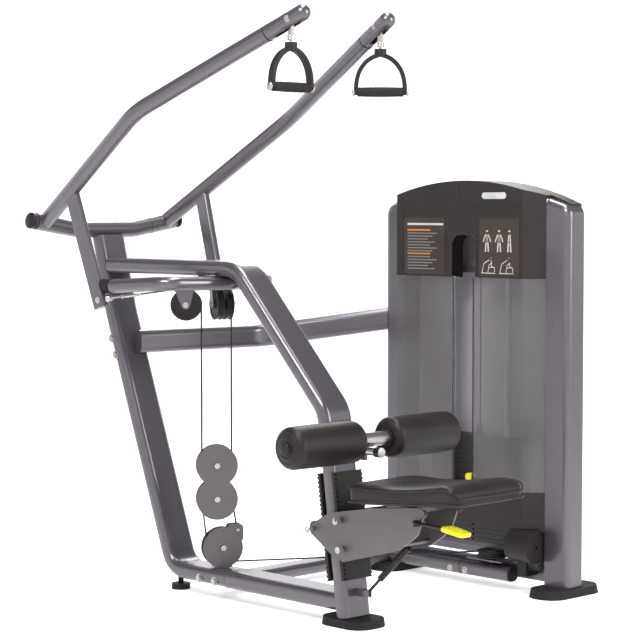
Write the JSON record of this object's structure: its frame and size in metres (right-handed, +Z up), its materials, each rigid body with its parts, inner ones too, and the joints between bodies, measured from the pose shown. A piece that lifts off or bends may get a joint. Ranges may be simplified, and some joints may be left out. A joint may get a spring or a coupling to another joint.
{
  "type": "lat pulldown machine",
  "caption": "Plate-stack lat pulldown with a leaning mast, converging lever arms and swivel handles, floating pulley block, seat on a rack post, thigh rollers and shrouded weight tower.",
  "frame": {"origin": "centre of the underside of the mast's levelling foot, on the floor", "axes": "+X from the mast to the seat, +Y from the centre plane to the weight tower, +Z up"},
  "size_m": [1.9732, 1.456, 2.0502],
  "materials": {
    "frame_paint": "satin metallic",
    "black_rubber": "matt",
    "black_plastic": "satin",
    "shroud_plastic": "satin",
    "pad_leather": "soft grain",
    "grip_foam": "matt",
    "bright_steel": "plated",
    "chrome_rod": "polished",
    "plate_iron": "painted",
    "plate_grey": "satin",
    "smoked_panel": "smoked",
    "yellow_plastic": "gloss",
    "cable_black": "nylon coated",
    "light_sheet": "satin paint",
    "pulley_nylon": "satin"
  },
  "bodies": {
    "root": {"arch_post": "frame_paint", "arm_bumpers": "black_rubber", "base_tubes": "frame_paint", "cable_drops": "cable_black", "cable_risers": "cable_black", "fixed_cables": "cable_black", "guide_rods": "chrome_rod", "head_shroud": "shroud_plastic", "levelling_foot": "black_rubber", "lower_cover": "shroud_plastic", "lower_pulley_cheeks": "plate_grey", "mast": "frame_paint", "mid_tube": "frame_paint", "pulley_axles": "bright_steel", "pulley_brackets": "frame_paint", "rear_sheet": "light_sheet", "resting_plates": "plate_iron", "riser_cover": "black_plastic", "rubber_feet": "black_rubber", "seat_racks": "black_plastic", "splice_bolts": "bright_steel", "stack_cable": "cable_black", "thigh_bracket": "frame_paint", "tower_frame": "frame_paint", "u_tube": "frame_paint", "window_panels": "smoked_panel"},
    "left_arm": {"left_arm": "frame_paint", "left_cable_run": "bright_steel"},
    "right_arm": {"right_arm": "frame_paint", "right_cable_run": "bright_steel"},
    "left_hook": {"left_hook": "bright_steel"},
    "right_hook": {"right_hook": "bright_steel"},
    "left_handle": {"left_handle_frame": "black_plastic", "left_grip": "grip_foam"},
    "right_handle": {"right_handle_frame": "black_plastic", "right_grip": "grip_foam"},
    "left_upper_pulley": {"left_upper_pulley": "pulley_nylon"},
    "right_upper_pulley": {"right_upper_pulley": "pulley_nylon"},
    "floating_block": {"block_plates": "plate_grey", "block_axles": "bright_steel", "block_cable_loops": "cable_black"},
    "block_upper_pulley": {"block_upper_pulley": "pulley_nylon"},
    "block_lower_pulley": {"block_lower_pulley": "pulley_nylon"},
    "lower_pulley": {"lower_pulley": "pulley_nylon"},
    "floor_disc_pulley": {"floor_disc_pulley": "pulley_nylon"},
    "riser_pulley": {"riser_pulley": "pulley_nylon"},
    "top_outer_pulley": {"top_outer_pulley": "pulley_nylon"},
    "top_centre_pulley": {"top_centre_pulley": "pulley_nylon"},
    "weight_stack": {"lifted_plates": "plate_iron"},
    "selector_pin": {"selector_pin": "yellow_plastic"},
    "seat": {"seat_carriage": "plate_grey", "carriage_rollers": "black_plastic", "seat_cushion": "pad_leather"},
    "seat_lever": {"seat_lever": "yellow_plastic"},
    "strut_rod": {"gas_strut_rod": "black_plastic"},
    "strut_cylinder": {"gas_strut_cylinder": "black_plastic"},
    "thigh_arm": {"thigh_arm": "bright_steel"},
    "left_roller": {"left_roller": "pad_leather"},
    "right_roller": {"right_roller": "pad_leather"},
    "pull_pin": {"pull_pin": "black_plastic"}
  },
  "joints": [
    {"name": "left_arm_pull", "type": "hinge", "parent": "root", "child": "left_arm", "pos_m": [-0.431, -0.265, 1.33061], "axis": [0, 0.9863, -0.1651], "range_deg": [0, 20], "deforming": ["left_cable_run"]},
    {"name": "right_arm_pull", "type": "hinge", "parent": "root", "child": "right_arm", "pos_m": [-0.431, 0.265, 1.33061], "axis": [0, 0.9863, 0.1651], "range_deg": [0, 20], "deforming": ["right_cable_run"]},
    {"name": "left_hook_swing", "type": "hinge", "parent": "left_arm", "child": "left_hook", "pos_m": [0.812, -0.208, 2.003], "axis": [-0.2446, 0.9696, 0], "range_deg": [-28, 25]},
    {"name": "right_hook_swing", "type": "hinge", "parent": "right_arm", "child": "right_hook", "pos_m": [0.812, 0.208, 2.003], "axis": [0.2446, 0.9696, 0], "range_deg": [-28, 25]},
    {"name": "left_handle_turn", "type": "hinge", "parent": "left_hook", "child": "left_handle", "pos_m": [0.812, -0.208, 1.923], "axis": [0, 0, 1], "continuous": true},
    {"name": "right_handle_turn", "type": "hinge", "parent": "right_hook", "child": "right_handle", "pos_m": [0.812, 0.208, 1.923], "axis": [0, 0, 1], "continuous": true},
    {"name": "block_rise", "type": "slide", "parent": "root", "child": "floating_block", "axis": [0, 0, 1], "range_m": [0, 0.11336], "deforming": ["cable_drops", "cable_risers"]},
    {"name": "stack_rise", "type": "slide", "parent": "root", "child": "weight_stack", "axis": [0, 0, 1], "range_m": [0, 0.22672], "deforming": ["stack_cable"]},
    {"name": "selector_pin_pull", "type": "slide", "parent": "weight_stack", "child": "selector_pin", "axis": [0, -1, 0], "range_m": [0, 0.03]},
    {"name": "left_upper_pulley_spin", "type": "hinge", "parent": "root", "child": "left_upper_pulley", "pos_m": [0.13518, -0.08401, 1.046], "axis": [0.7108, -0.7034, 0], "range_deg": [0, 243.72]},
    {"name": "right_upper_pulley_spin", "type": "hinge", "parent": "root", "child": "right_upper_pulley", "pos_m": [0.18664, 0.0618, 1.046], "axis": [-0.4067, -0.9135, 0], "range_deg": [0, 243.72]},
    {"name": "block_upper_pulley_spin", "type": "hinge", "parent": "floating_block", "child": "block_upper_pulley", "pos_m": [0.204, -0.003, 0.472], "axis": [0.809, -0.5878, 0], "continuous": true},
    {"name": "block_lower_pulley_spin", "type": "hinge", "parent": "floating_block", "child": "block_lower_pulley", "pos_m": [0.204, -0.003, 0.352], "axis": [0.809, -0.5878, 0], "range_deg": [0, 243.72]},
    {"name": "lower_pulley_spin", "type": "hinge", "parent": "root", "child": "lower_pulley", "pos_m": [0.228, 0, 0.18], "axis": [0.8807, -0.4736, 0], "range_deg": [-243.72, 0]},
    {"name": "floor_disc_spin", "type": "hinge", "parent": "root", "child": "floor_disc_pulley", "pos_m": [0.752, 0.862, 0.119], "axis": [0, 0, 1], "range_deg": [0, 243.72]},
    {"name": "riser_pulley_spin", "type": "hinge", "parent": "root", "child": "riser_pulley", "pos_m": [0.925, 0.9153, 0.1723], "axis": [0, 1, 0], "range_deg": [0, 243.72]},
    {"name": "top_outer_pulley_spin", "type": "hinge", "parent": "root", "child": "top_outer_pulley", "pos_m": [0.925, 0.9153, 1.25], "axis": [0, 1, 0], "range_deg": [0, 243.72]},
    {"name": "top_centre_pulley_spin", "type": "hinge", "parent": "root", "child": "top_centre_pulley", "pos_m": [0.6983, 0.9153, 1.25], "axis": [0, 1, 0], "range_deg": [0, 243.72]},
    {"name": "seat_height", "type": "slide", "parent": "root", "child": "seat", "axis": [-0.1376, 0, 0.9905], "range_m": [-0.08, 0.03]},
    {"name": "seat_lever_pull", "type": "hinge", "parent": "seat", "child": "seat_lever", "pos_m": [1.268, -0.096, 0.392], "axis": [0, -1, 0], "range_deg": [0, 14], "stiffness_Nm_per_rad": 1.5, "springref_deg": -8.59},
    {"name": "gas_strut_turn", "type": "hinge", "parent": "root", "child": "strut_rod", "pos_m": [0.958, 0, 0.113], "axis": [0, 1, 0], "range_deg": [-4.87, 12.98]},
    {"name": "gas_strut_extend", "type": "slide", "parent": "strut_rod", "child": "strut_cylinder", "axis": [0.7307, 0, 0.6827], "range_m": [-0.04885, 0.01833]},
    {"name": "thigh_pad_tilt", "type": "hinge", "parent": "root", "child": "thigh_arm", "pos_m": [0.905, 0, 0.588], "axis": [0, 1, 0], "range_deg": [-18, 8]},
    {"name": "left_roller_spin", "type": "hinge", "parent": "thigh_arm", "child": "left_roller", "pos_m": [0.975, -0.2, 0.628], "axis": [0, 1, 0], "continuous": true},
    {"name": "right_roller_spin", "type": "hinge", "parent": "thigh_arm", "child": "right_roller", "pos_m": [0.975, 0.2, 0.628], "axis": [0, 1, 0], "continuous": true},
    {"name": "pull_pin_pull", "type": "slide", "parent": "thigh_arm", "child": "pull_pin", "axis": [1, 0, 0], "range_m": [0, 0.012], "stiffness_N_per_m": 400, "springref_m": -0.004}
  ],
  "couplings": [
    {"joint": "right_arm_pull", "follows": "left_arm_pull", "ratio": 1},
    {"joint": "block_rise", "follows": "left_arm_pull", "m_per_rad": 0.32476},
    {"joint": "stack_rise", "follows": "left_arm_pull", "m_per_rad": 0.64951},
    {"joint": "left_upper_pulley_spin", "follows": "left_arm_pull", "ratio": 6.093},
    {"joint": "right_upper_pulley_spin", "follows": "left_arm_pull", "ratio": 6.093},
    {"joint": "block_lower_pulley_spin", "follows": "left_arm_pull", "ratio": 6.093},
    {"joint": "lower_pulley_spin", "follows": "left_arm_pull", "ratio": -12.186},
    {"joint": "floor_disc_spin", "follows": "left_arm_pull", "ratio": 12.186},
    {"joint": "riser_pulley_spin", "follows": "left_arm_pull", "ratio": 12.186},
    {"joint": "top_outer_pulley_spin", "follows": "left_arm_pull", "ratio": 12.186},
    {"joint": "top_centre_pulley_spin", "follows": "left_arm_pull", "ratio": 12.186},
    {"joint": "gas_strut_turn", "follows": "seat_height", "rad_per_m": -2.8298},
    {"joint": "gas_strut_extend", "follows": "seat_height", "ratio": 0.61043}
  ]
}
